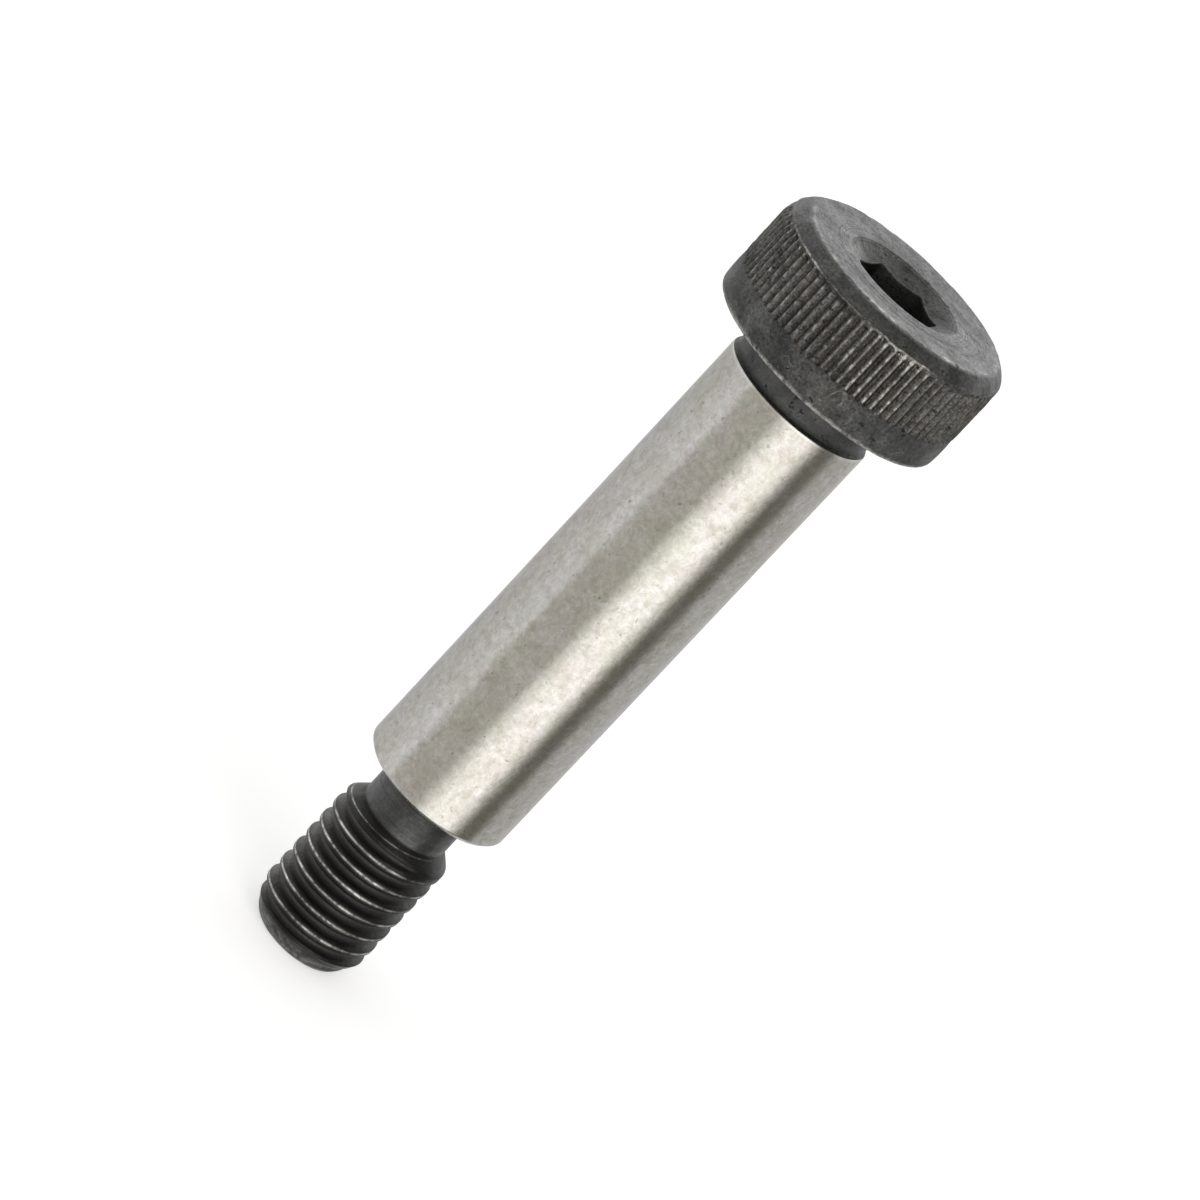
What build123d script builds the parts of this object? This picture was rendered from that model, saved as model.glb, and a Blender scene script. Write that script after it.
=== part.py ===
from build123d import *
import math
import os

# A one-piece socket-head shoulder screw, in millimetres, standing on its threaded end. Its axis
# is the Z axis, with the head's bearing face at z = 0, the head above it and the shank below it.

# Shoulder, the ground bearing journal. Its length runs from the bearing face.
shoulder_diameter = 10.0
shoulder_length = 35.0
shoulder_chamfer = 0.3

# Relieved neck between the bearing face and the ground surface
neck_length = 2.05
neck_relief = 0.2
neck_taper_length = 0.25

# Head
head_diameter = 16.0
head_height = 6.8
head_chamfer_width = 0.7
head_chamfer_height = 0.8
head_edge_chamfer = 0.25

# Straight knurl round the upper part of the head
knurl_ridges = 82
knurl_depth = 0.25
knurl_angle = 90.0
plain_band_height = 2.25
plain_band_relief = 0.05

# Hexagon socket, drilled and then broached, with a countersunk mouth
hex_key_size = 5.0
hex_key_clearance = 0.05
socket_depth = 4.2
socket_turn = 7.6
drill_point_angle = 120.0
countersink_diameter = 7.8
countersink_angle = 120.0

# Right-hand thread, ISO metric coarse. Its length includes the undercut.
thread_diameter = 8.0
thread_pitch = 1.25
thread_length = 13.0
thread_angle = 60.0
tip_chamfer_angle = 45.0
tip_relief = 0.1

# Undercut between the shoulder and the first thread
undercut_length = 3.1
undercut_relief = 0.1
undercut_flare_angle = 45.0
undercut_rounding = 0.3

# Small overlap that lets a cutter leave the metal cleanly
cutter_overrun = 0.5

shoulder_radius = shoulder_diameter / 2
head_radius = head_diameter / 2
band_radius = head_radius - plain_band_relief
thread_radius = thread_diameter / 2
sharp_thread_height = thread_pitch / 2 / math.tan(math.radians(thread_angle / 2))
thread_depth = sharp_thread_height * 17 / 24
root_radius = thread_radius - thread_depth
undercut_radius = root_radius - undercut_relief
tip_radius = root_radius - tip_relief
tip_chamfer_length = (thread_radius - tip_radius) / math.tan(math.radians(tip_chamfer_angle))
flare_length = (thread_radius - undercut_radius) / math.tan(math.radians(undercut_flare_angle))
thread_start_z = -shoulder_length - undercut_length
tip_z = -shoulder_length - thread_length
across_flats = hex_key_size + hex_key_clearance


def turned_blank():
    """The whole screw as it leaves the lathe: one outline turned about the axis."""
    neck_radius = shoulder_radius - neck_relief
    # each corner of the outline, from the tip up to the head: radius, height and rounding
    corners = [
        (0, tip_z, 0),
        (tip_radius, tip_z, 0),
        (thread_radius, tip_z + tip_chamfer_length, 0),
        (thread_radius, thread_start_z, 0),
        (undercut_radius, thread_start_z + flare_length, undercut_rounding),
        (undercut_radius, -shoulder_length, undercut_rounding),
        (shoulder_radius - shoulder_chamfer, -shoulder_length, 0),
        (shoulder_radius, -shoulder_length + shoulder_chamfer, 0),
        (shoulder_radius, -neck_length - neck_taper_length, 0),
        (neck_radius, -neck_length, 0),
        (neck_radius, 0, 0),
        (band_radius - head_edge_chamfer, 0, 0),
        (band_radius, head_edge_chamfer, 0),
        (band_radius, plain_band_height, 0),
        (head_radius, plain_band_height, 0),
        (head_radius, head_height - head_chamfer_height, 0),
        (head_radius - head_chamfer_width, head_height, 0),
        (0, head_height, 0),
    ]
    points = [(radius, height) for radius, height, _ in corners]
    roundings = [rounding for _, _, rounding in corners]
    outline = Plane.XZ * FilletPolyline(*points, radius=roundings, close=True)
    return revolve(make_face(outline), Axis.Z)


def knurl_grooves():
    """The V grooves between the knurl's ridges, open at the top through the head's chamfer."""
    length = head_height - plain_band_height + cutter_overrun
    reach = knurl_depth + cutter_overrun
    half_width = reach * math.tan(math.radians(knurl_angle / 2))
    root = head_radius - knurl_depth
    section = Polyline(
        (root, 0), (root + reach, half_width), (root + reach, -half_width), close=True
    )
    groove = extrude(Plane.XY.offset(plain_band_height) * make_face(section), length)
    return PolarLocations(0, knurl_ridges) * groove


def hex_socket():
    """The socket: a hexagon above a drilled point, with the countersink at its mouth."""
    hexagon = RegularPolygon(across_flats / 2, 6, major_radius=False, rotation=socket_turn)
    broached = extrude(Plane.XY.offset(head_height - socket_depth) * hexagon, socket_depth)
    point_height = across_flats / 2 / math.tan(math.radians(drill_point_angle / 2))
    drilled = Pos(Z=head_height - socket_depth - point_height) * Cone(
        0, across_flats / 2, point_height, align=(Align.CENTER, Align.CENTER, Align.MIN)
    )
    mouth_depth = countersink_diameter / 2 / math.tan(math.radians(countersink_angle / 2))
    countersink = Pos(Z=head_height - mouth_depth) * Cone(
        0, countersink_diameter / 2, mouth_depth, align=(Align.CENTER, Align.CENTER, Align.MIN)
    )
    return broached + drilled + countersink


def thread_groove():
    """The thread's groove, swept turn by turn from below the tip to its run-out in the undercut."""
    slope = math.tan(math.radians(thread_angle / 2))
    crest_width = thread_pitch / 8
    mouth_half_width = (thread_pitch - crest_width) / 2
    root_half_width = mouth_half_width - thread_depth * slope
    # the cutter stands proud of the crests, where its turns still pass clear of each other
    proud = crest_width / 4 / slope
    proud_half_width = mouth_half_width + proud * slope
    run_out_z = thread_start_z + flare_length + root_half_width
    turns = math.ceil((run_out_z - tip_z) / thread_pitch) + 1
    start_z = run_out_z - turns * thread_pitch
    section = Polyline(
        (root_radius, start_z - root_half_width),
        (thread_radius + proud, start_z - proud_half_width),
        (thread_radius + proud, start_z + proud_half_width),
        (root_radius, start_z + root_half_width),
        close=True,
    )
    helix = Wire(
        [
            Helix(thread_pitch, thread_pitch, root_radius, center=(0, 0, turn_z)).edge()
            for turn_z in (start_z + turn * thread_pitch for turn in range(turns))
        ]
    )
    return sweep(Plane.XZ * make_face(section), path=helix, is_frenet=True)


shoulder_bolt = turned_blank() - knurl_grooves() - hex_socket() - thread_groove()

os.makedirs("parts", exist_ok=True)
export_step(shoulder_bolt, "parts/shoulder_bolt.step")
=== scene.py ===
import math
from types import SimpleNamespace

import bmesh
import bpy
import numpy as np
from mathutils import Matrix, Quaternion, Vector


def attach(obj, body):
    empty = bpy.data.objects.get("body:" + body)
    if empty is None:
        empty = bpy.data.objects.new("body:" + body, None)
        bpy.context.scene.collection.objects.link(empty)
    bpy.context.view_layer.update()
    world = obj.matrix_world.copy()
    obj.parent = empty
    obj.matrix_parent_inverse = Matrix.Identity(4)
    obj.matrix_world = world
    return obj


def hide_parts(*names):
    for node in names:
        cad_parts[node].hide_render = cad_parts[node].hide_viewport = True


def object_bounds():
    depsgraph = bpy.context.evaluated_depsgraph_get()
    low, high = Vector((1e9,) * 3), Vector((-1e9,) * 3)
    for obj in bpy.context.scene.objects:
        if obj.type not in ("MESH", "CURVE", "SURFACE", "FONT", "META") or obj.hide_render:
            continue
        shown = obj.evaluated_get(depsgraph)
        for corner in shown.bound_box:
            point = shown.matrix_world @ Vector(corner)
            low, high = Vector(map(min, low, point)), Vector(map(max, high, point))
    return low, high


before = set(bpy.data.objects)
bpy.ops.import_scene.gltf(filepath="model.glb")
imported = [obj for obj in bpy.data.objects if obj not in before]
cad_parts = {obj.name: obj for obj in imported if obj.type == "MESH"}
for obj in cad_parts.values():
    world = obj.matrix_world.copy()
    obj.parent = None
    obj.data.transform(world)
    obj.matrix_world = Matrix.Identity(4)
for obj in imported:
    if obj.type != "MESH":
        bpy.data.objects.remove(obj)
cad_low, cad_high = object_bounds()

MM = 0.001
FULL_TURN = 2 * math.pi

# Sizes in millimetres. The head's bearing face is at z = 0 and the axis is Z. The margin keeps the
# head inside the CAD's box.
HEAD_TOP = cad_high.z / MM
TIP = cad_low.z / MM
HEAD_MARGIN = 0.03
HEAD_R = min(cad_high.x - cad_low.x, cad_high.y - cad_low.y) / 2 / MM - HEAD_MARGIN
BAND_R = HEAD_R - 0.05
BAND_H = 2.25
FACE_R = HEAD_R - 0.80
CHAMFER_H = 0.80
KNURL_TOP = HEAD_TOP - CHAMFER_H
KNURL_DEPTH = 0.25
RIDGES = 82

# The socket's cone and its drilled point have the same slope
ACROSS_FLATS = 5.05
HEX_CORNER_CUT = 0.07
SOCKET_FLOOR = HEAD_TOP - 4.2
SOCKET_TURN = math.radians(7.6)
MOUTH_R = 4.00
CONE_TAN = math.tan(math.radians(27))

NECK_R = 4.80
NECK_END = -2.05
NECK_FILLET = 0.26
SHOULDER_TOP = -2.30
SHOULDER_R = 5.0
SHOULDER_END = -35.0
SHOULDER_CHAMFER = 0.30

UNDERCUT_R = 2.99
UNDERCUT_FILLET = 0.24
FLARE_TOP = -37.86
FLARE_SLOPE = 0.92

# The groove's helix is measured in turns down from GROOVE_START. It begins at RUN_IN and gets its
# full depth over RUN_IN_LENGTH. Dirt lies inside DIRT_R.
THREAD_R = 3.885
ROOT_R = 3.2332
PITCH = 1.25
FLANK_TAN = math.tan(math.radians(30))
GROOVE_START = -37.30
RUN_IN = 1.02
RUN_IN_LENGTH = 0.30
DIRT_R = 3.66
TIP_R = 3.10
TIP_SLOPE = 0.55

# What each point belongs to, kept for the materials in the mesh attribute "zone"
PLAIN, KNURL, NECK, SOCKET, SHOULDER, THREAD = range(6)

rng = np.random.default_rng(7)


# ---------------------------------------------------------------- mesh building
class Skin:
    """One closed surface: rings of points round the axis, and a helical grid at the thread.

    Each ring has any number of points, sorted by angle. Each point carries three numbers for the
    materials: wear (bare metal), hollow (dirt, and painted shade in the corners at both ends of the
    shoulder) and zone.
    """

    def __init__(self):
        self.points = []
        self.wear = []
        self.hollow = []
        self.zone = []
        self.faces = []
        self.last = None
        self.count = 0

    def add(self, xyz, wear, zone, hollow=0.0):
        first = self.count
        n = len(xyz)
        self.points.append(np.asarray(xyz, float))
        self.wear.append(np.broadcast_to(np.asarray(wear, float), (n,)))
        self.hollow.append(np.broadcast_to(np.asarray(hollow, float), (n,)))
        self.zone.append(np.full(n, float(zone)))
        self.count += n
        return np.arange(first, first + n)

    def ring(self, angles, radius, height, wear=0.0, zone=PLAIN, hollow=0.0):
        """Adds a ring and stitches it to the last one."""
        angles = np.asarray(angles)
        radius = np.broadcast_to(radius, angles.shape)
        height = np.broadcast_to(height, angles.shape)
        xyz = np.stack([radius * np.cos(angles), radius * np.sin(angles), height], 1)
        here = (self.add(xyz, wear, zone, hollow), angles)
        if self.last is not None:
            self.stitch(self.last, here)
        self.last = here

    def rings(self, angles, profile, **look):
        """Adds one plain ring for each (radius, height) of a profile."""
        for radius, height in profile:
            self.ring(angles, radius, height, **look)

    def stitch(self, a, b):
        """Faces between two rings, quads where they match and triangles where they don't."""
        ia, ta = a
        ib, tb = b
        na, nb = len(ia), len(ib)
        if na == nb and np.allclose(ta, tb):
            for i in range(na):
                j = (i + 1) % na
                self.faces.append((ia[i], ib[i], ib[j], ia[j]))
            return
        i = j = 0
        start = int(np.argmin(np.abs(tb - ta[0])))
        ang_a = np.append(ta, ta[0] + FULL_TURN)
        order = [(start + k) % nb for k in range(nb)] + [start]
        base = tb[start]
        ang_b = np.array([(tb[k] - base) % FULL_TURN for k in order]) + base
        ang_b[-1] = base + FULL_TURN
        while i < na or j < nb:
            next_a = ang_a[i + 1] if i < na else math.inf
            next_b = ang_b[j + 1] if j < nb else math.inf
            if next_a <= next_b:
                self.faces.append((ia[i % na], ib[order[j]], ia[(i + 1) % na]))
                i += 1
            else:
                self.faces.append((ia[i % na], ib[order[j]], ib[order[j + 1]]))
                j += 1

    def cap(self, height, zone, first=False):
        """Closes the last ring with a fan to a point on the axis."""
        centre = self.add([(0.0, 0.0, height)], 0.0, zone)[0]
        ids = self.last[0]
        n = len(ids)
        for i in range(n):
            j = (i + 1) % n
            self.faces.append((centre, ids[i], ids[j]) if first else (ids[i], centre, ids[j]))


def even(n, turn=0.0):
    """That many angles evenly spaced round the axis, the first one at turn."""
    return turn + np.arange(n) * FULL_TURN / n


def round_corner(p, q, r, size, steps=4):
    """Points rounding the corner q between p and r, each (radius, height)."""
    p, q, r = np.array(p), np.array(q), np.array(r)
    a = q + (p - q) / np.linalg.norm(p - q) * size
    b = q + (r - q) / np.linalg.norm(r - q) * size
    shares = [k / steps for k in range(steps + 1)]
    return [(1 - t) ** 2 * a + 2 * t * (1 - t) * q + t * t * b for t in shares]


def smooth_noise(angles, seed, waves, lowest):
    """A wavy line round the axis, between about -1 and 1."""
    local = np.random.default_rng(seed)
    total = np.zeros_like(angles)
    for k in range(waves):
        f = lowest + k * 2 + int(local.integers(0, 2))
        total += np.sin(f * angles + local.uniform(0, 6.28)) * local.uniform(0.4, 1.0)
    return total / math.sqrt(waves)


def around(angles, *places):
    """Sum of soft bumps round the axis, each (degrees from +X, width in degrees, height)."""
    total = np.zeros_like(angles)
    for centre, width, height in places:
        gap = (np.degrees(angles) - centre + 180) % 360 - 180
        total += height * np.exp(-(gap / width) ** 2)
    return total


def bell(x, centre, width):
    """A soft bump of height 1."""
    return np.exp(-((x - centre) / width) ** 2)


def soft_min(a, b, k):
    """The smaller of two values, blended over a width k where they meet."""
    h = np.clip(0.5 + 0.5 * (b - a) / k, 0, 1)
    return b * (1 - h) + a * h - k * h * (1 - h)


skin = Skin()

# Socket: drilled point, floor, hexagon walls with blunt corners, then the scalloped countersink
sock = even(144, SOCKET_TURN)
half_flats = ACROSS_FLATS / 2
fold = (sock - SOCKET_TURN) % (math.pi / 3) - math.pi / 6
sharp_corner = half_flats / math.cos(math.pi / 6)
hexagon = np.minimum(half_flats / np.cos(fold), sharp_corner - HEX_CORNER_CUT)
drill_r = half_flats * 0.985
skin.ring(sock, 0.4, SOCKET_FLOOR - (drill_r - 0.4) * CONE_TAN, zone=SOCKET)
skin.cap(SOCKET_FLOOR - drill_r * CONE_TAN, SOCKET, first=True)
skin.ring(sock, 1.4, SOCKET_FLOOR - (drill_r - 1.4) * CONE_TAN, zone=SOCKET)
skin.ring(sock, drill_r, SOCKET_FLOOR, zone=SOCKET)
skin.ring(sock, hexagon - 0.06, SOCKET_FLOOR + 0.03, zone=SOCKET)
skin.ring(sock, hexagon, SOCKET_FLOOR + 0.12, zone=SOCKET)
scallop = HEAD_TOP - (MOUTH_R - hexagon) * CONE_TAN
for drop in (2.0, 1.2, 0.6, 0.25, 0.09):
    skin.ring(sock, hexagon, scallop - drop, zone=SOCKET)

# Rubbed upper edge of the hexagon, and the cone up to the mouth
skin.ring(sock, hexagon + 0.006, scallop - 0.03, 0.18, SOCKET)
skin.ring(sock, hexagon + 0.045, scallop + 0.02, 0.28)
skin.ring(sock, hexagon + 0.10, scallop + 0.10 * CONE_TAN, 0.1)
for share in (0.2, 0.45, 0.7, 0.88):
    r = (hexagon + 0.10) * (1 - share) + (MOUTH_R - 0.06) * share
    skin.ring(sock, r, HEAD_TOP - (MOUTH_R - r) * CONE_TAN)

# Top face: the rubbed lip of the mouth, then shallow turned steps, each (radius, depth)
face_a = even(288, SOCKET_TURN)
lip = round_corner((MOUTH_R - 1, HEAD_TOP - CONE_TAN), (MOUTH_R, HEAD_TOP), (5.0, HEAD_TOP), 0.09)
for (r, z), rub in zip(lip, (0, 0.1, 0.25, 0.34, 0.30)):
    skin.ring(face_a, r, z, rub)
for r, depth in ((4.25, 0.0), (4.38, 0.0), (4.46, 0.018), (4.62, 0.018), (4.70, 0.004), (4.95, 0.004),
                 (5.03, 0.030), (5.20, 0.030), (5.45, 0.018), (5.52, 0.030), (5.9, 0.024), (6.3, 0.010)):
    skin.ring(face_a, r, HEAD_TOP - depth)

# Knurl columns, as shares of a ridge's pitch: crest, flank, groove bottom and flank
COLUMNS = np.array([-0.07, 0.0, 0.07, 0.22, 0.37, 0.5, 0.63, 0.78])
ridge = np.repeat(np.arange(RIDGES), len(COLUMNS))
across = np.tile(COLUMNS, RIDGES)
from_crest = np.where(across > 0.5, 1 - across, np.abs(across))
at_bottom = np.isclose(across, 0.5)
on_crest = np.clip(1 - from_crest / 0.2, 0, 1)
groove = np.where(at_bottom, 0.94, np.clip((from_crest - 0.06) / 0.44, 0, 1))
soot = np.clip((from_crest - 0.20) / 0.28, 0, 1) * np.where(at_bottom, 0.60, 1)
drift = rng.normal(0, 0.018, RIDGES)[ridge]
knurl_a = (ridge + across + drift) * FULL_TURN / RIDGES
cut_depth = (KNURL_DEPTH * (1 + rng.normal(0, 0.12, RIDGES)))[ridge]

# Knurl rows, as shares of the wall's height: closer together where the grooves begin
wall = KNURL_TOP - BAND_H
first_drops = np.array([0.04, 0.10, 0.17, 0.26, 0.37, 0.50, 0.66])
even_shares = np.linspace(first_drops[-1] / wall, 1, 16)[1:-1]
knurl_shares = np.concatenate([first_drops / wall, even_shares])
KNURL_ROWS = len(knurl_shares)

# Chance differences from ridge to ridge, and along each ridge
groove_start = np.clip(rng.normal(0.12, 0.11, RIDGES), 0, 0.36)[ridge]
groove_end = (rng.normal(0, 0.05, RIDGES)[ridge]) * groove
dents = rng.normal(0, 0.016, (KNURL_ROWS + 4, RIDGES))
dents = (dents[:-2] + 2 * dents[1:-1] + dents[2:]) / 2.6
scuffs = np.clip(rng.normal(0.30, 0.42, (KNURL_ROWS + 2, RIDGES)), 0, 1)
knocks = np.clip(rng.normal(0.15, 0.50, (KNURL_ROWS, len(across))), 0, 1)
cake_depth = np.clip(rng.normal(0.30, 0.12, RIDGES), 0.06, 0.55)[ridge]

# Where round the head the knurl is caked with dirt and rubbed bright, and its corner worn away
cake_place = around(knurl_a, (-106, 20, 1.2), (150, 40, 0.9), (20, 20, 0.7), (-40, 10, 0.6))
cake_place = np.clip(cake_place, 0, 1)
rubbed = 0.32 + around(knurl_a, (-72, 15, 1.30), (-118, 15, 0.25), (-142, 14, 0.35), (35, 25, 0.6),
                       (120, 18, 0.7), (165, 15, 0.4))
shaved = around(knurl_a, (186, 42, 0.36), (-15, 30, 0.10))
rounded = around(knurl_a, (184, 36, 0.26), (-10, 26, 0.06))


def knurl_radius(row, drop):
    """Radius of the knurled wall a drop below its upper edge, with small dents along each ridge."""
    grown = np.clip((drop - groove_start) / 0.22, 0, 1)
    grown = 0.10 + 0.90 * grown * grown * (3 - 2 * grown)
    wall_r = HEAD_R - rounded * math.exp(-(drop / 0.42) ** 2)
    return wall_r - cut_depth * groove * grown - np.abs(dents[row][ridge]) * (0.25 + on_crest)


# The ragged border between chamfer and knurl
deep = knurl_radius(0, 0.0)
face_edge = FACE_R - shaved
cone_slope = (CHAMFER_H + 0.35 * shaved) / (HEAD_R - face_edge)
bite = 0.03 * smooth_noise(knurl_a, 3, 7, 4) + 0.025 * smooth_noise(knurl_a, 5, 8, 23)
border = HEAD_TOP - (deep - face_edge) * cone_slope + np.clip(bite, -0.08, 0.05)

# Edge of the top face, rounded and chewed here and there
EDGE_ROUND = 0.14
chew = np.clip(0.8 * smooth_noise(knurl_a, 33, 14, 7) - 0.1, 0, 1.3)
rim_wear = 0.32 + around(knurl_a, (-92, 26, 0.44), (-50, 12, 0.22), (-130, 12, 0.15), (-158, 16, 0.22))
rim_wear = np.clip(rim_wear * (0.85 + 0.7 * smooth_noise(knurl_a, 31, 9, 6)), 0.05, 0.85)
skin.ring(knurl_a, face_edge - 0.46, HEAD_TOP - 0.004)
skin.ring(knurl_a, face_edge - 0.30, HEAD_TOP - 0.004 * chew, rim_wear * 0.45)
for t, chewed, rub in ((0.0, 0.4, 0.8), (0.3, 1, 1), (0.6, 0.9, 0.5), (1.0, 0.3, 0.05)):
    down = EDGE_ROUND * t * t
    r = face_edge - EDGE_ROUND * (1 - t) ** 2 + down * 0.75
    z = HEAD_TOP - down * cone_slope * 0.75 - chew * 0.055 * chewed
    skin.ring(knurl_a, r, z, rim_wear * rub)

# Chamfer, bulging where the corner is worn round
for share in (0.22, 0.45, 0.68, 0.88):
    r = (face_edge + 0.12) * (1 - share) + (deep - 0.05) * share
    bulge = (0.05 + 0.30 * rounded) * math.sin(math.pi * share)
    skin.ring(knurl_a, r + bulge * 0.7, HEAD_TOP - (r - face_edge) * cone_slope + bulge * 0.5)

# Upper edge of the knurl, rubbed bright in places
edge_wear = 0.05 + around(knurl_a, (-70, 11, 1.4), (-126, 8, 1.2), (-142, 10, 0.7), (-100, 7, 0.15),
                          (30, 20, 0.8), (100, 18, 1.0), (170, 15, 0.8))
edge_wear = np.clip(edge_wear * (0.85 + 0.6 * smooth_noise(knurl_a, 11, 7, 9)), 0.0, 1)
skin.ring(knurl_a, deep - 0.05, border + 0.05, edge_wear * 0.25, KNURL)
skin.ring(knurl_a, deep - 0.008, border + 0.010, edge_wear, KNURL)
skin.ring(knurl_a, deep, border - 0.045, edge_wear * 0.8, KNURL)

# Knurled wall
wall_low = BAND_H + 0.10
for k, t in enumerate(knurl_shares):
    z = (border - 0.05) * (1 - t) + wall_low * t
    drop = t * wall
    tips = 1 + math.exp(-((drop - 0.30) / 0.25) ** 2)
    crest_wear = np.clip(on_crest * rubbed * tips * (0.25 + scuffs[k][ridge]), 0, 1)
    battered = around(knurl_a, (-73, 11, 1.5), (40, 14, 1.0)) * math.exp(-((drop - 0.22) / 0.20) ** 2)
    crest_wear = np.maximum(crest_wear, battered * knocks[k])
    cake = cake_place * np.clip((cake_depth - drop) / 0.10, 0, 1)
    crest_wear = crest_wear * (1 - 0.8 * cake)
    open_share = np.clip((drop - groove_start) / 0.12, 0, 1)
    clogged = bell(drop - groove_start, 0.16, 0.12) * np.clip(groove * 2.5, 0, 1)
    dirt_and_corner_shade = np.maximum(np.maximum(soot * open_share, clogged), 0.85 * cake)
    skin.ring(knurl_a, knurl_radius(k + 1, drop), z, crest_wear, KNURL, dirt_and_corner_shade)

# Where the grooves run out into the plain band
arc = 0.13 * groove + groove_end
stop = knurl_radius(KNURL_ROWS + 1, wall)
skin.ring(knurl_a, stop, BAND_H + 0.05 - arc * 0.8, on_crest * rubbed * 0.6, KNURL, soot)
skin.ring(knurl_a, stop * 0.35 + BAND_R * 0.65, BAND_H - 0.02 - arc, 0.1, KNURL, soot * 0.6)
skin.ring(knurl_a, BAND_R - 0.004, BAND_H - 0.06 - arc, 0.08)

# Plain band, a little barrelled, with a rounded worn lower edge
band_a = even(328)
for swell, z in ((0.01, BAND_H - 0.30), (0.03, 1.5), (0.03, 0.95), (0.01, 0.55)):
    skin.ring(band_a, BAND_R + swell, z)
nick = 0.015 * smooth_noise(band_a, 21, 8, 5)
low_edge = round_corner((BAND_R, 0.55), (BAND_R, 0.0), (6.0, 0.0), 0.40, 6)
for (r, z), rub in zip(low_edge, (0.05, 0.35, 0.85, 1.0, 0.8, 0.3, 0.05)):
    skin.ring(band_a, r + nick * rub - 0.02 * rub, max(z, 0.0), rub * 0.9)

# Bearing face, the rounding into the neck, and the neck
skin.ring(band_a, 7.0, 0.0)
turn_a = even(192)
skin.rings(turn_a, ((6.0, 0.0), (5.4, 0.0)))
under_head = round_corner((6.0, 0.0), (NECK_R, 0.0), (NECK_R, -1.5), NECK_FILLET, 5)
skin.rings(turn_a, under_head, zone=NECK)
skin.rings(turn_a, ((NECK_R, -0.8), (NECK_R, NECK_END + 0.30)), zone=NECK)

# Step up to the ground shoulder
foot = round_corner((NECK_R, 0.0), (NECK_R, NECK_END), (SHOULDER_R, SHOULDER_TOP), 0.06, 3)
crown = round_corner((NECK_R, NECK_END), (SHOULDER_R, SHOULDER_TOP), (SHOULDER_R, -9.0), 0.07, 4)
# Painted shadow: the neck's foot is darkened as a thin black line where it meets the shoulder
skin.rings(turn_a, foot, zone=NECK, hollow=0.9)
skin.rings(turn_a, [foot[-1] * 0.3 + crown[0] * 0.7], zone=NECK, hollow=0.9)
skin.rings(turn_a, crown, zone=SHOULDER)

# Shoulder, and the chamfer at its lower end
span = SHOULDER_END - SHOULDER_TOP
for t in (0.03, 0.1, 0.2, 0.3, 0.4, 0.5, 0.6, 0.7, 0.8, 0.9, 0.96):
    skin.ring(turn_a, SHOULDER_R, SHOULDER_TOP + span * t, zone=SHOULDER)
chamfer_top = (SHOULDER_R, SHOULDER_END + SHOULDER_CHAMFER)
chamfer_end = (SHOULDER_R - SHOULDER_CHAMFER, SHOULDER_END)
upper_corner = round_corner((SHOULDER_R, -30.0), chamfer_top, chamfer_end, 0.10, 4)
lower_corner = round_corner(chamfer_top, chamfer_end, (4.0, SHOULDER_END), 0.08, 3)
skin.rings(turn_a, upper_corner + lower_corner, wear=0.4, zone=SHOULDER)

# Undercut, with painted shade in its upper corner under the shoulder, fading out downwards
skin.rings(turn_a, ((4.2, SHOULDER_END), (3.7, SHOULDER_END)), zone=NECK)
inner = (UNDERCUT_R, SHOULDER_END)
rounding = round_corner((4.0, SHOULDER_END), inner, (UNDERCUT_R, -37.0), UNDERCUT_FILLET, 5)
skin.rings(turn_a, rounding, zone=NECK, hollow=1.0)
for z, dirt_and_corner_shade in ((-35.68, 1.0), (-35.86, 0.1), (-36.5, 0), (-37.1, 0)):
    skin.ring(turn_a, UNDERCUT_R, z, zone=NECK, hollow=dirt_and_corner_shade)

# Thread: rows follow the helix, and stop at the flare above and at the tip below. The phases are
# the rows of one turn, as shares of the pitch down from a crest, closest together on the crest and
# in the groove's bottom.
THREAD_N = 160
thread_a = even(THREAD_N)
TOP_Z = FLARE_TOP + 0.30
PHASES = (0.0, 0.03, 0.07, 0.11, 0.14, 0.17, 0.22, 0.31, 0.385, 0.43, 0.465, 0.5,
          0.535, 0.57, 0.63, 0.72, 0.80, 0.86, 0.895, 0.925, 0.95, 0.975)
TURN_ROWS = len(PHASES)


def thread_point(z, angle):
    """(radius, crest share, hollow share) of the threaded end at a height and an angle."""
    turns = (z - GROOVE_START) / PITCH - angle / FULL_TURN
    off = np.abs(turns - np.round(turns)) * PITCH
    along = -np.round(turns) - angle / FULL_TURN

    # the groove, which deepens over the run-in
    begun = np.clip((along - RUN_IN) / RUN_IN_LENGTH, 0, 1)
    cut = np.maximum(ROOT_R - 0.09 + off / FLANK_TAN, ROOT_R + 0.02)
    cut = cut + 0.05 * bell(off, 0, 0.07) + 0.75 * (1 - begun) ** 2
    body = soft_min(cut, THREAD_R, 0.15)

    # the blank it is cut in, between the flare and the chamfered tip
    rise = np.clip(z - TIP, 0, None)
    flare = UNDERCUT_R + FLARE_SLOPE * np.clip(FLARE_TOP - z, 0, None)
    end = TIP_R + TIP_SLOPE * rise - 0.12 * np.exp(-rise / 0.14)
    blank = soft_min(flare, end, 0.05)
    r = soft_min(body, blank, 0.06)
    r = np.maximum(r, np.minimum(blank, UNDERCUT_R))

    # bare metal on the crest, weaker at both ends of the thread, and dirt in the groove
    above = (PITCH / 2 - off) * np.where(turns < np.round(turns), 1, -1)
    crest = bell(above, 0.05, 0.075) + 0.12 * bell(above, -0.17, 0.05)
    crest = crest * np.clip((along - 0.95) / 0.30, 0.15, 1) * np.clip((rise - 0.9) / 1.0, 0.08, 1)
    hollow = 0.62 * np.clip((DIRT_R - r) / 0.32, 0, 1) * (r < blank - 0.03)
    return np.minimum(r, THREAD_R), crest, hollow


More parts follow.
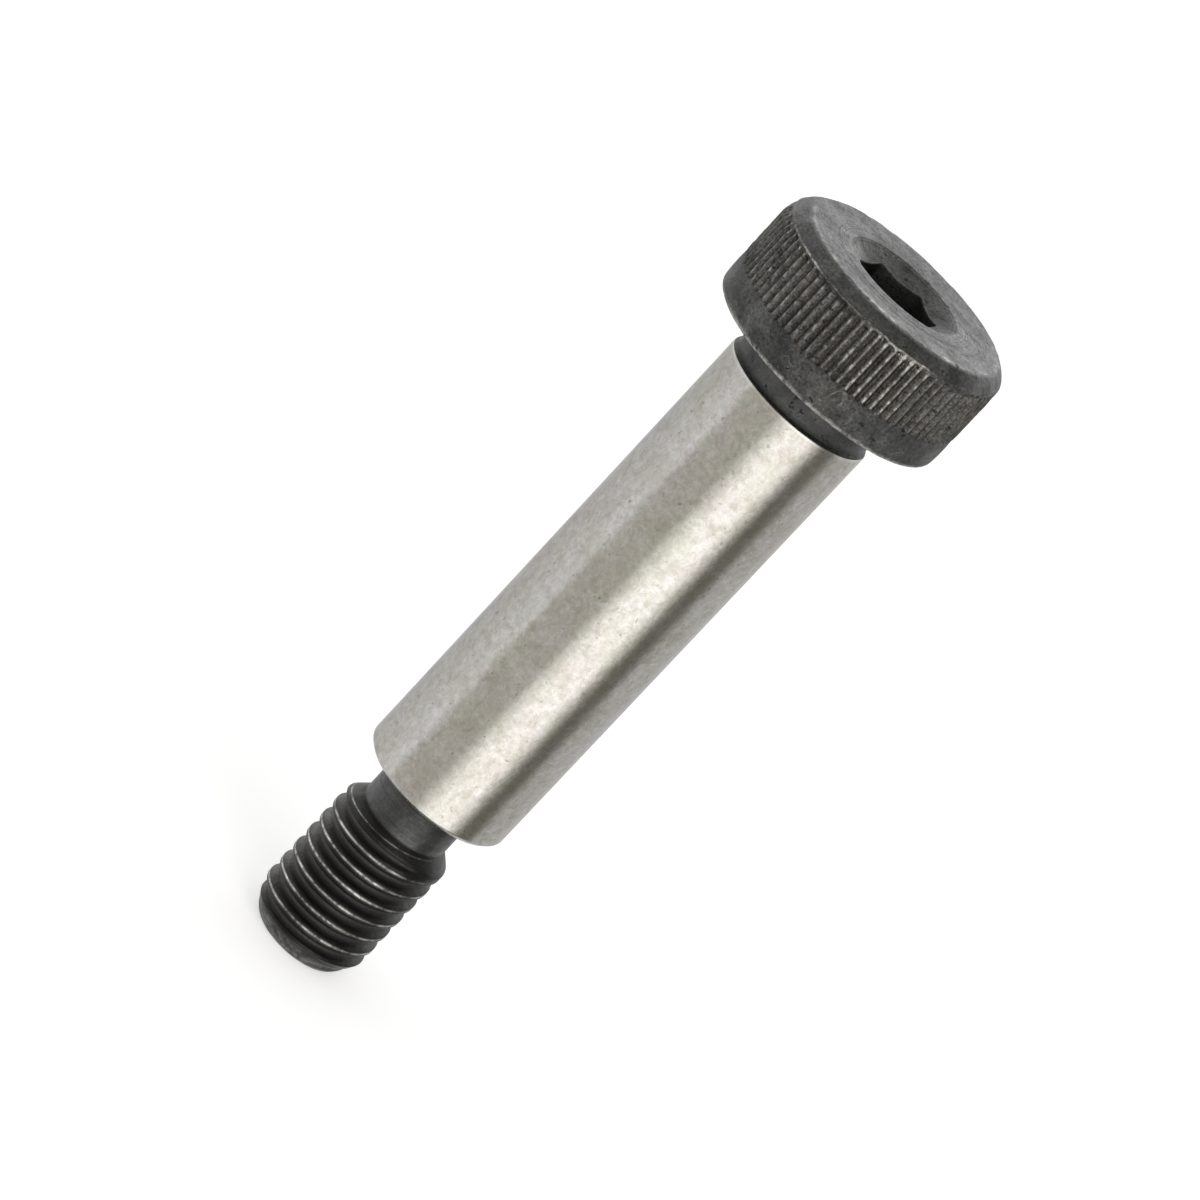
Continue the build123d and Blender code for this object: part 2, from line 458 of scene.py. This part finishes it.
first_turn = math.ceil((TOP_Z - GROOVE_START) / PITCH) + 2
rows = math.ceil((GROOVE_START + PITCH * first_turn - TIP) / PITCH + 1) * TURN_ROWS
grid_z = np.zeros((rows + TURN_ROWS + 1, THREAD_N))
for i in range(rows + TURN_ROWS + 1):
    whole, j = divmod(i, TURN_ROWS)
    base = GROOVE_START + PITCH * (first_turn - whole) - PITCH * PHASES[j] - 0.5 * PITCH
    grid_z[i] = base + PITCH * thread_a / FULL_TURN
grid_z = np.clip(grid_z, TIP, TOP_Z)
grid_r, grid_crest, grid_hollow = thread_point(grid_z, np.broadcast_to(thread_a, grid_z.shape))
grid_r = np.where(grid_z >= TOP_Z, UNDERCUT_R, grid_r)
skin.ring(thread_a, UNDERCUT_R, TOP_Z, zone=NECK)
grid = np.stack([grid_r * np.cos(thread_a), grid_r * np.sin(thread_a), grid_z], 2).reshape(-1, 3)
grid_first = skin.count
skin.add(grid, (grid_crest * 0.9).reshape(-1), THREAD, grid_hollow.reshape(-1))


def grid_id(i, j):
    """Point of the helical grid. One step past the last column is one turn of rows higher."""
    if j == THREAD_N:
        i, j = i - TURN_ROWS, 0
    return grid_first + i * THREAD_N + j


for i in range(TURN_ROWS, rows + TURN_ROWS):
    for j in range(THREAD_N):
        skin.faces.append((grid_id(i, j), grid_id(i + 1, j), grid_id(i + 1, j + 1), grid_id(i, j + 1)))

# Tip face
skin.last = None
skin.ring(thread_a, grid_r[-1], TIP, 0.2, THREAD)
skin.ring(thread_a, TIP_R - 0.30, TIP, zone=THREAD)
skin.ring(even(80), 1.6, TIP, zone=THREAD)
skin.cap(TIP, THREAD)

# Weld points that share a place, and drop the faces that this collapses
WELD_STEPS_PER_MM = 4000
points = np.concatenate(skin.points)
key = np.round(points * WELD_STEPS_PER_MM).astype(np.int64)
_, keep, back = np.unique(key, axis=0, return_index=True, return_inverse=True)
back = back.reshape(-1)
clean = []
seen = set()
for face in skin.faces:
    ids = list(dict.fromkeys(int(back[v]) for v in face))
    if len(ids) > 2 and tuple(sorted(ids)) not in seen:
        seen.add(tuple(sorted(ids)))
        clean.append(ids)
wear = np.concatenate(skin.wear)[keep]
hollow = np.concatenate(skin.hollow)[keep]
zone = np.concatenate(skin.zone)[keep]

mesh = bpy.data.meshes.new("bolt_body")
mesh.from_pydata((points[keep] * MM).tolist(), [], clean)
mesh.validate()
for name, data in (("wear", wear), ("zone", zone), ("hollow", hollow)):
    layer = mesh.attributes.new(name, "FLOAT", "POINT")
    layer.data.foreach_set("value", data.astype(np.float32))
bolt = bpy.data.objects.new("bolt_body", mesh)
bpy.context.collection.objects.link(bolt)
bm = bmesh.new()
bm.from_mesh(mesh)
bmesh.ops.recalc_face_normals(bm, faces=bm.faces)
for f in bm.faces:
    f.smooth = True
bm.to_mesh(mesh)
bm.free()

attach(bolt, "root")
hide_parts("shoulder_bolt")

# ---------------------------------------------------------------- camera
# It looks down on the bolt by 20 degrees, and is turned about its line of sight so that the bolt
# lies across the picture as in the photo. The place and the aim are in millimetres.
CAMERA_PLACE = Vector((0, -300.5, 89.2))
CAMERA_AIM = Vector((-0.464, 0, -19.44))
CAMERA_ROLL = math.radians(43.05)
cam_data = bpy.data.cameras.new("camera")
cam_data.lens = 165.5
cam_data.sensor_width = 36.0
cam_data.clip_start = 0.01
cam_data.clip_end = 50
camera = bpy.data.objects.new("camera", cam_data)
bpy.context.collection.objects.link(camera)
camera.location = CAMERA_PLACE * MM
look = (CAMERA_AIM * MM - camera.location).to_track_quat("-Z", "Y")
camera.rotation_mode = "QUATERNION"
camera.rotation_quaternion = look @ Quaternion((0, 0, 1), CAMERA_ROLL)
bpy.context.scene.camera = camera

# ---------------------------------------------------------------- materials
# Linear red, green and blue of the blackened steel, of what lies on it, and of the shade painted on it
WHITE = (1, 1, 1)
DARK_OXIDE = (0.062, 0.063, 0.061)
PALE_OXIDE = (0.100, 0.101, 0.098)
TOP_FACE_GREY = (0.235, 0.235, 0.235)
SMEAR_GREY = (0.175, 0.173, 0.163)
SCUFF_GREY = (0.26, 0.26, 0.24)
KNURL_RUST = (0.118, 0.103, 0.084)
THREAD_BLACK = (0.023, 0.0225, 0.021)
SOCKET_BLACK = (0.030, 0.031, 0.030)
DIRT_AND_CORNER_SHADE = (0.020, 0.019, 0.016)
THREAD_DIRT = (0.100, 0.094, 0.085)
FLARE_CORNER_SHADE = (0.018, 0.017, 0.014)
TIP_GREY = (0.20, 0.20, 0.19)
BARE_METAL = (0.68, 0.66, 0.62)
PIT_BLACK = (0.020, 0.020, 0.020)

# The same for the ground steel
GROUND_DARK = (0.47, 0.455, 0.43)
GROUND_PALE = (0.63, 0.62, 0.60)
CLOUD_BROWN = (0.45, 0.425, 0.375)
STAIN_BROWN = (0.37, 0.345, 0.285)
PINK_TINT = (1.010, 0.995, 0.995)
GREEN_TINT = (0.990, 1.0, 0.960)
SPOT_BROWN = (0.24, 0.22, 0.18)
SPECK_BROWN = (0.20, 0.185, 0.165)
HAIR_BRIGHT = (0.80, 0.78, 0.75)
RIM_HIGHLIGHT = (0.85, 0.84, 0.80)


class Nodes:
    """Short names for making and linking the nodes of one tree."""

    def __init__(self, tree):
        self.tree = tree

    def feed(self, socket, value):
        """Gives an input its value, which is a constant or another node's output."""
        if isinstance(value, bpy.types.NodeSocket):
            self.tree.links.new(value, socket)
        else:
            socket.default_value = value

    def put(self, kind, values=(), **settings):
        """Adds a node, with values for its inputs by name or number."""
        node = self.tree.nodes.new(kind)
        for name, value in settings.items():
            setattr(node, name, value)
        for key, value in dict(values).items():
            self.feed(node.inputs[key], value)
        return node

    def math(self, operation, a, b=0.0, clamp=False):
        return self.put("ShaderNodeMath", {0: a, 1: b}, operation=operation, use_clamp=clamp).outputs[0]

    def product(self, a, *others):
        for other in others:
            a = self.math("MULTIPLY", a, other)
        return a

    def rest(self, value):
        """What a mask leaves, 1 minus it."""
        return self.math("SUBTRACT", 1.0, value)

    def range(self, value, low, high, to_low=0.0, to_high=1.0):
        values = {"Value": value, "From Min": low, "From Max": high, "To Min": to_low, "To Max": to_high}
        return self.put("ShaderNodeMapRange", values).outputs["Result"]

    def window(self, value, rise, full, falling, gone):
        """Mask that is 1 from full to falling, and 0 before rise and after gone."""
        return self.product(self.range(value, rise, full), self.range(value, gone, falling))

    def attribute(self, name):
        return self.put("ShaderNodeAttribute", attribute_name=name).outputs["Fac"]

    def millimetres(self):
        """Position on the object."""
        return self.scaled(self.put("ShaderNodeTexCoord").outputs["Object"], 1 / MM, 1 / MM, 1 / MM)

    def axes(self, vector):
        return self.put("ShaderNodeSeparateXYZ", {0: vector}).outputs

    def scaled(self, vector, x, y, z):
        return self.put("ShaderNodeVectorMath", {0: vector, 1: (x, y, z)}, operation="MULTIPLY").outputs[0]

    def length(self, vector):
        return self.put("ShaderNodeVectorMath", {0: vector}, operation="LENGTH").outputs["Value"]

    def noise(self, vector, scale, detail=3.0, rough=0.55, warp=0.0):
        values = {"Vector": vector, "Scale": scale, "Detail": detail, "Roughness": rough, "Distortion": warp}
        return self.put("ShaderNodeTexNoise", values).outputs["Fac"]

    def hairlines(self, noise, width):
        """Thin curved lines, where a noise passes through its middle."""
        off_middle = self.math("ABSOLUTE", self.math("SUBTRACT", noise, 0.5))
        return self.range(off_middle, 0.0, width, 1.0, 0.0)

    def ramp(self, fac, *stops):
        """Colour ramp of (position, grey or colour) stops."""
        node = self.put("ShaderNodeValToRGB", {"Fac": fac})
        points = node.color_ramp.elements
        while len(points) < len(stops):
            points.new(0.5)
        for point, (place, colour) in zip(points, stops):
            red_green_blue = (colour,) * 3 if isinstance(colour, (int, float)) else colour
            point.position = place
            point.color = (*red_green_blue, 1)
        return node.outputs["Color"]

    def mix(self, fac, a, b):
        """Colour from a to b. The colour mix takes them at inputs 6 and 7, and gives output 2."""
        a, b = (v if isinstance(v, bpy.types.NodeSocket) else (*v, 1) for v in (a, b))
        return self.put("ShaderNodeMix", {0: fac, 6: a, 7: b}, data_type="RGBA").outputs[2]

    def times(self, colour, factor):
        return self.put("ShaderNodeVectorMath", {0: colour, 3: factor}, operation="SCALE").outputs[0]

    def shade(self, colour, mask, factor):
        """The colour times a factor, as far as the mask goes."""
        return self.times(colour, self.mix(mask, WHITE, factor))

    def bump(self, height, strength, distance, normal=None):
        """Bump of a height, its distance in millimetres, on top of an earlier bump's normal."""
        values = {"Height": height, "Strength": strength, "Distance": distance * MM}
        if normal is not None:
            values["Normal"] = normal
        return self.put("ShaderNodeBump", values).outputs["Normal"]


def new_material(name):
    material = bpy.data.materials.new(name)
    material.use_nodes = True
    return material, Nodes(material.node_tree), material.node_tree.nodes["Principled BSDF"]


def oxide_fields(n):
    """What the oxide is worked out from: places, maps in the mesh, noises, and masks of the parts.

    Each mask is 1 on its part and 0 elsewhere.
    """
    f = SimpleNamespace()
    f.place = n.millimetres()
    f.x, f.y, f.height = n.axes(f.place)
    f.radius = n.length(n.scaled(f.place, 1, 1, 0))
    f.wear = n.attribute("wear")
    f.zone = n.attribute("zone")
    f.hollow = n.attribute("hollow")

    f.blotch = n.noise(f.place, 0.55, 4, 0.6, 0.4)
    f.grain = n.noise(f.place, 5.5, 6, 0.8)
    f.grit = n.noise(f.place, 8.0, 3, 0.7, 0.3)
    f.lathe = n.noise(n.scaled(f.place, 0.22, 0.22, 9.0), 1.0, 4, 0.7)
    outward = n.put("ShaderNodeCombineXYZ", {0: n.product(f.radius, 6.0)}).outputs[0]
    f.rings = n.noise(outward, 1.0, 4, 0.7)

    f.knurl = n.window(f.zone, KNURL - 0.6, KNURL - 0.1, KNURL + 0.1, KNURL + 0.6)
    f.hole = n.product(n.range(f.zone, SOCKET - 0.6, SOCKET - 0.1), n.range(f.height, 1.0, 1.5))
    f.top = n.range(f.height, HEAD_TOP - 0.16, HEAD_TOP - 0.06)
    f.near_mouth = n.product(f.top, n.range(f.radius, 6.9, 4.6, 0.25, 1.0))
    under_top = n.range(f.height, HEAD_TOP - 0.10, HEAD_TOP - 0.20)
    f.cone = n.product(under_top, n.window(f.radius, 2.55, 2.70, 3.90, 4.05))
    over_knurl = n.range(f.height, KNURL_TOP - 0.02, KNURL_TOP + 0.04)
    f.chamfer = n.product(over_knurl, n.range(f.radius, FACE_R, FACE_R + 0.15))
    f.band = n.window(f.height, -0.05, 0.15, BAND_H - 0.05, BAND_H + 0.05)
    f.neck = n.window(f.height, -2.6, -2.4, -0.45, -0.30)
    f.lower = n.range(f.height, -30.0, -31.0)
    f.flare = n.window(f.height, FLARE_TOP - 0.24, FLARE_TOP - 0.12, FLARE_TOP - 0.04, FLARE_TOP + 0.06)
    f.thread = n.range(f.height, FLARE_TOP + 0.02, FLARE_TOP - 0.10)
    f.tip = n.range(f.height, TIP + 1.05, TIP + 0.75)
    f.matt_dirt = n.product(f.hollow, f.thread, 0.9)

    # Bare metal where edges are worn, broken up by chips, and pits, which the lower end lacks
    chips = n.range(n.noise(f.place, 3.2, 5, 0.75, 0.3), 0.39, 0.57)
    breaks = n.range(n.noise(f.place, 1.3, 4, 0.75), 0.40, 0.60, 0.15, 1.0)
    worn = n.range(f.wear, 0.10, 0.95)
    f.bare = n.math("MULTIPLY", worn, n.mix(f.thread, chips, breaks), clamp=True)
    pits = n.range(n.noise(n.scaled(f.place, 1, 1, 1.4), 2.2, 3, 0.6), 0.63, 0.68)
    f.pits = n.product(pits, n.rest(f.lower))
    return f


def oxide_skin(n, f):
    """Blotched oxide, greyer on the top face and smeared on the head's side, with painted light and shade on
    the chamfer and the neck.
    """
    colour = n.ramp(f.blotch, (0.34, DARK_OXIDE), (0.62, PALE_OXIDE))
    colour = n.mix(n.product(f.top, 0.50), colour, TOP_FACE_GREY)
    smear = n.range(n.noise(n.scaled(f.place, 1, 1, 1.3), 0.50, 3, 0.55, 0.6), 0.48, 0.64, 0.0, 0.54)
    smear = n.product(smear, n.rest(n.math("MAXIMUM", f.lower, n.math("MAXIMUM", f.top, f.neck))))
    smear = n.product(smear, n.range(f.knurl, 0.0, 1.0, 1.0, 0.4))
    colour = n.mix(smear, colour, SMEAR_GREY)

    # Painted light and shade across the chamfer, lighter towards -X and darker towards +X, painted shade
    # on the neck, darker towards +X, and the plain band darker at its front; then the band's scuffs
    colour = n.shade(colour, f.chamfer, n.range(f.x, -6.5, 6.5, 1.10, 0.88))
    colour = n.shade(colour, f.band, n.range(f.y, -6.4, -7.6, 1.0, 0.76))
    colour = n.shade(colour, f.neck, n.range(f.x, -2.0, 3.0, 0.96, 0.78))
    scuff = n.hairlines(n.noise(n.scaled(f.place, 1, 1, 0.7), 0.75, 2, 0.5, 1.3), 0.012)
    scuff = n.product(scuff, n.range(n.noise(f.place, 0.7, 2, 0.5), 0.48, 0.56))
    return n.mix(n.product(scuff, f.band, 0.55), colour, SCUFF_GREY)


def oxide_dirt_and_shade(n, f, colour):
    """Rust on the knurl, dirt in hollows, painted shade in the corners at both ends of the shoulder and
    where the undercut meets the flare, a darker thread and socket, and a greyer tip.
    """
    rust = n.product(f.knurl, n.range(n.noise(f.place, 0.9, 3, 0.6), 0.44, 0.64, 0.05, 0.50))
    colour = n.mix(rust, colour, KNURL_RUST)
    colour = n.mix(n.product(f.thread, 0.84), colour, THREAD_BLACK)
    colour = n.mix(n.product(f.hole, 0.70), colour, SOCKET_BLACK)
    # Dirt in the knurl's grooves, and painted shade in the corners at both ends of the shoulder
    colour = n.mix(n.product(f.hollow, 0.72), colour, n.mix(f.thread, DIRT_AND_CORNER_SHADE, THREAD_DIRT))
    # Painted shade in the corner where the undercut meets the flare
    colour = n.mix(n.product(f.flare, 0.70), colour, FLARE_CORNER_SHADE)
    grey_end = n.product(f.tip, n.range(n.noise(f.place, 1.4, 4, 0.65), 0.40, 0.60, 0.10, 0.85))
    return n.mix(grey_end, colour, TIP_GREY)


def oxide_grain(n, f, colour):
    """Speckles, weaker below the shoulder and on the neck, then turned rings, grit and wear."""
    speckled = n.range(f.grain, 0.38, 0.62, 1.42, 0.62)
    colour = n.shade(colour, n.rest(n.product(n.math("MAXIMUM", f.lower, f.neck), 0.6)), speckled)
    colour = n.shade(colour, f.lower, n.range(f.lathe, 0.35, 0.65, 0.72, 1.14))
    colour = n.shade(colour, n.product(f.knurl, 0.85), n.range(f.grit, 0.36, 0.64, 0.50, 1.95))
    colour = n.mix(n.product(f.bare, 0.90), colour, BARE_METAL)
    return n.mix(n.product(f.pits, 0.8), colour, PIT_BLACK)


def oxide_top_face(n, f, colour):
    """Rings round the mouth, painted light on the top face, patches, and a painted reflection on one side of
    the cone.
    """
    colour = n.shade(colour, f.near_mouth, n.range(f.rings, 0.40, 0.60, 0.62, 1.30))
    # Painted light on the top face: lighter towards the front (-Y) and a little towards +X, and lighter in a
    # ring just outside the mouth
    painted_top_light = n.product(n.range(f.radius, 3.95, 4.15, 1.0, 1.13), n.range(f.radius, 4.55, 4.95, 1.0, 0.90),
                     n.range(f.y, -7.0, 7.0, 1.22, 0.83), n.range(f.x, -7.0, 7.0, 0.93, 1.05))
    colour = n.shade(colour, f.top, painted_top_light)
    # Painted reflection: the cone's side towards -X is paler
    colour = n.shade(colour, f.cone, n.range(f.x, -3.4, -1.6, 1.80, 1.0))
    patchy = n.range(n.noise(f.place, 1.5, 5, 0.75, 0.5), 0.38, 0.62, 0.74, 1.30)
    return n.shade(colour, f.top, patchy)


def oxide_roughness(n, f):
    """Rougher with grain and dirt, smoother where rubbed, at the lower end and on the neck."""
    rough = n.range(f.grain, 0.3, 0.8, 0.37, 0.51)
    rough = n.math("ADD", rough, n.range(f.blotch, 0.36, 0.62, 0.07, -0.07))
    rough = n.math("SUBTRACT", rough, n.product(n.math("MAXIMUM", f.bare, f.lower), 0.08))
    rough = n.math("SUBTRACT", rough, n.product(f.neck, 0.12))
    return n.math("ADD", rough, n.product(f.matt_dirt, 0.5))


def oxide_bumps(n, f):
    """Bumps one on another, from the rings round the mouth to the pits, which go inward."""
    normal = n.bump(n.product(f.rings, f.near_mouth), 1.0, 0.14)
    normal = n.bump(f.lathe, 0.45, 0.02, normal)
    normal = n.bump(f.blotch, 0.5, 0.14, normal)
    normal = n.bump(n.product(f.grain, n.range(f.lower, 0.0, 1.0, 1.0, 0.3)), 0.75, 0.06, normal)
    normal = n.bump(n.product(f.grit, f.knurl), 0.60, 0.07, normal)
    normal = n.bump(n.noise(f.place, 15.0, 2, 0.6), 0.30, 0.02, normal)
    return n.bump(n.product(f.pits, -1.0), 0.6, 0.06, normal)


def black_oxide():
    """Furnace-blackened steel, mottled and dirty, with bright metal where edges have rubbed."""
    material, n, shader = new_material("black_oxide")
    f = oxide_fields(n)
    colour = oxide_skin(n, f)
    colour = oxide_dirt_and_shade(n, f, colour)
    colour = oxide_grain(n, f, colour)
    colour = oxide_top_face(n, f, colour)
    n.feed(shader.inputs["Base Color"], colour)
    n.feed(shader.inputs["Roughness"], oxide_roughness(n, f))
    n.feed(shader.inputs["Normal"], oxide_bumps(n, f))

    # The dirt in the thread's grooves doesn't mirror like metal
    n.feed(shader.inputs["Metallic"], n.rest(f.matt_dirt))
    return material


def ground_steel():
    """Bright ground steel: mottled and faintly stained, with a few spots and curved scratches."""
    material, n, shader = new_material("ground_steel")
    place = n.millimetres()
    height = n.axes(place)["Z"]
    marks = n.noise(n.scaled(place, 0.35, 0.35, 12.0), 1.0, 4, 0.7)
    speckle = n.noise(place, 2.6, 5, 0.75)
    cloud = n.noise(n.scaled(place, 1, 1, 0.7), 0.60, 5, 0.70, 0.8)
    stain = n.noise(place, 1.1, 6, 0.8, 0.6)

    colour = n.ramp(speckle, (0.36, GROUND_DARK), (0.64, GROUND_PALE))
    colour = n.mix(n.range(cloud, 0.44, 0.60, 0.0, 0.40), colour, CLOUD_BROWN)
    colour = n.mix(n.range(stain, 0.50, 0.62, 0.0, 0.56), colour, STAIN_BROWN)
    hue = n.range(n.noise(n.scaled(place, 1, 1, 0.6), 0.50, 4, 0.65, 0.5), 0.44, 0.58)
    tint = n.mix(hue, PINK_TINT, GREEN_TINT)
    colour = n.put("ShaderNodeVectorMath", {0: colour, 1: tint}, operation="MULTIPLY").outputs[0]

    # Spots, specks and scratches, then painted highlights along the rims at both ends
    spots = n.range(n.noise(place, 0.95, 4, 0.65), 0.66, 0.73)
    colour = n.mix(n.product(spots, 0.50), colour, SPOT_BROWN)
    specks = n.range(n.noise(place, 3.1, 1, 0.5), 0.71, 0.77)
    colour = n.mix(n.product(specks, 0.55), colour, SPECK_BROWN)
    hairs = n.hairlines(n.noise(n.scaled(place, 1, 1, 0.5), 0.8, 2, 0.5, 1.6), 0.009)
    hairs = n.product(hairs, n.range(n.noise(place, 0.35, 2, 0.5), 0.50, 0.58))
    colour = n.mix(n.product(hairs, 0.50), colour, HAIR_BRIGHT)
    first_rim_highlight = n.range(height, SHOULDER_TOP - 0.12, SHOULDER_TOP - 0.07, 0.0, 0.3)
    chamfer = SHOULDER_END + SHOULDER_CHAMFER
    last_rim_highlight = n.range(height, chamfer, chamfer - 0.08, 0.0, 0.7)
    colour = n.mix(n.math("MAXIMUM", first_rim_highlight, last_rim_highlight), colour, RIM_HIGHLIGHT)

    rough = n.range(marks, 0.3, 0.7, 0.18, 0.24)
    rough = n.math("ADD", rough, n.range(stain, 0.5, 0.7, 0.0, 0.06))
    normal = n.bump(marks, 0.20, 0.006)
    normal = n.bump(speckle, 0.22, 0.010, normal)
    normal = n.bump(cloud, 0.22, 0.040, normal)

    n.feed(shader.inputs["Base Color"], colour)
    n.feed(shader.inputs["Roughness"], rough)
    n.feed(shader.inputs["Normal"], normal)
    n.feed(shader.inputs["Metallic"], 1.0)
    n.feed(shader.inputs["Anisotropic"], 0.8)
    n.feed(shader.inputs["Anisotropic Rotation"], 0.25)
    return material


mesh.materials.append(black_oxide())
mesh.materials.append(ground_steel())
is_ground = [all(zone[v] == SHOULDER for v in p.vertices) for p in mesh.polygons]
mesh.polygons.foreach_set("material_index", np.array(is_ground, dtype=np.int32))

# ---------------------------------------------------------------- floor
FLOOR_SIZE = 6
PAPER_WHITE = (0.90, 0.90, 0.90, 1)
PAPER_GLOW = 0.45
bpy.ops.mesh.primitive_plane_add(size=FLOOR_SIZE, location=(0, 0, cad_low.z))
floor = bpy.context.object
floor.name = "floor"
paper, n, shader = new_material("white_paper")
n.feed(shader.inputs["Base Color"], PAPER_WHITE)
n.feed(shader.inputs["Roughness"], 0.9)

# To the camera alone the paper also glows a little, so that it shows white
seen_by_camera = n.put("ShaderNodeLightPath").outputs["Is Camera Ray"]
strength = n.product(seen_by_camera, PAPER_GLOW)
glow = n.put("ShaderNodeEmission", {"Color": (*WHITE, 1), "Strength": strength})
both = n.put("ShaderNodeAddShader", {0: shader.outputs[0], 1: glow.outputs[0]})
n.feed(n.tree.nodes["Material Output"].inputs["Surface"], both.outputs[0])
floor.data.materials.append(paper)

# The metal mirrors the light tent, and not the floor
floor.visible_glossy = False

# ---------------------------------------------------------------- light tent
# The world's light by azimuth, in degrees anticlockwise from -Y seen from above. The shoulder
# mirrors it as the light and dark bands along it.
TENT = ((-180, 0.62), (-150, 0.62), (-115, 0.74), (-63, (0.98, 0.985, 1.01)),
        (-54, (0.65, 0.635, 0.595)), (-6, (0.65, 0.635, 0.595)), (1, (1.0, 0.985, 0.95)),
        (9, (1.30, 1.28, 1.23)), (20, (1.74, 1.715, 1.68)), (48, (1.78, 1.75, 1.73)),
        (58, (1.1, 1.08, 1.04)), (68, (0.37, 0.36, 0.325)), (74, (0.205, 0.20, 0.175)),
        (88, (0.225, 0.22, 0.195)), (102, 0.63), (125, 0.64), (180, 0.62))
PANEL_LIGHT = (1.45, 1.45, 1.46)

world = bpy.data.worlds.new("light_tent")
bpy.context.scene.world = world
world.use_nodes = True
n = Nodes(world.node_tree)
east, north, up = n.axes(n.put("ShaderNodeTexCoord").outputs["Generated"])
azimuth = n.math("DEGREES", n.math("ARCTAN2", east, n.product(north, -1.0)))
stops = [((degrees + 180) / 360, light) for degrees, light in TENT]
tent = n.ramp(n.range(azimuth, -180.0, 180.0), *stops)

# A soft panel behind the bolt, 10 to 30 degrees up, lights the top face. Overhead it is darker.
behind = n.range(n.math("ABSOLUTE", azimuth), 118.0, 150.0)
raised = n.window(up, 0.0, 0.16, 0.46, 0.66)
tent = n.mix(n.product(behind, raised), tent, PANEL_LIGHT)
tent = n.times(tent, n.range(up, 0.70, 0.90, 1.0, 0.45))

# The camera sees a white background in place of the tent
seen_by_camera = n.put("ShaderNodeLightPath").outputs["Is Camera Ray"]
n.feed(n.tree.nodes["Background"].inputs["Color"], n.mix(seen_by_camera, tent, WHITE))

bpy.context.scene.view_settings.view_transform = "Standard"
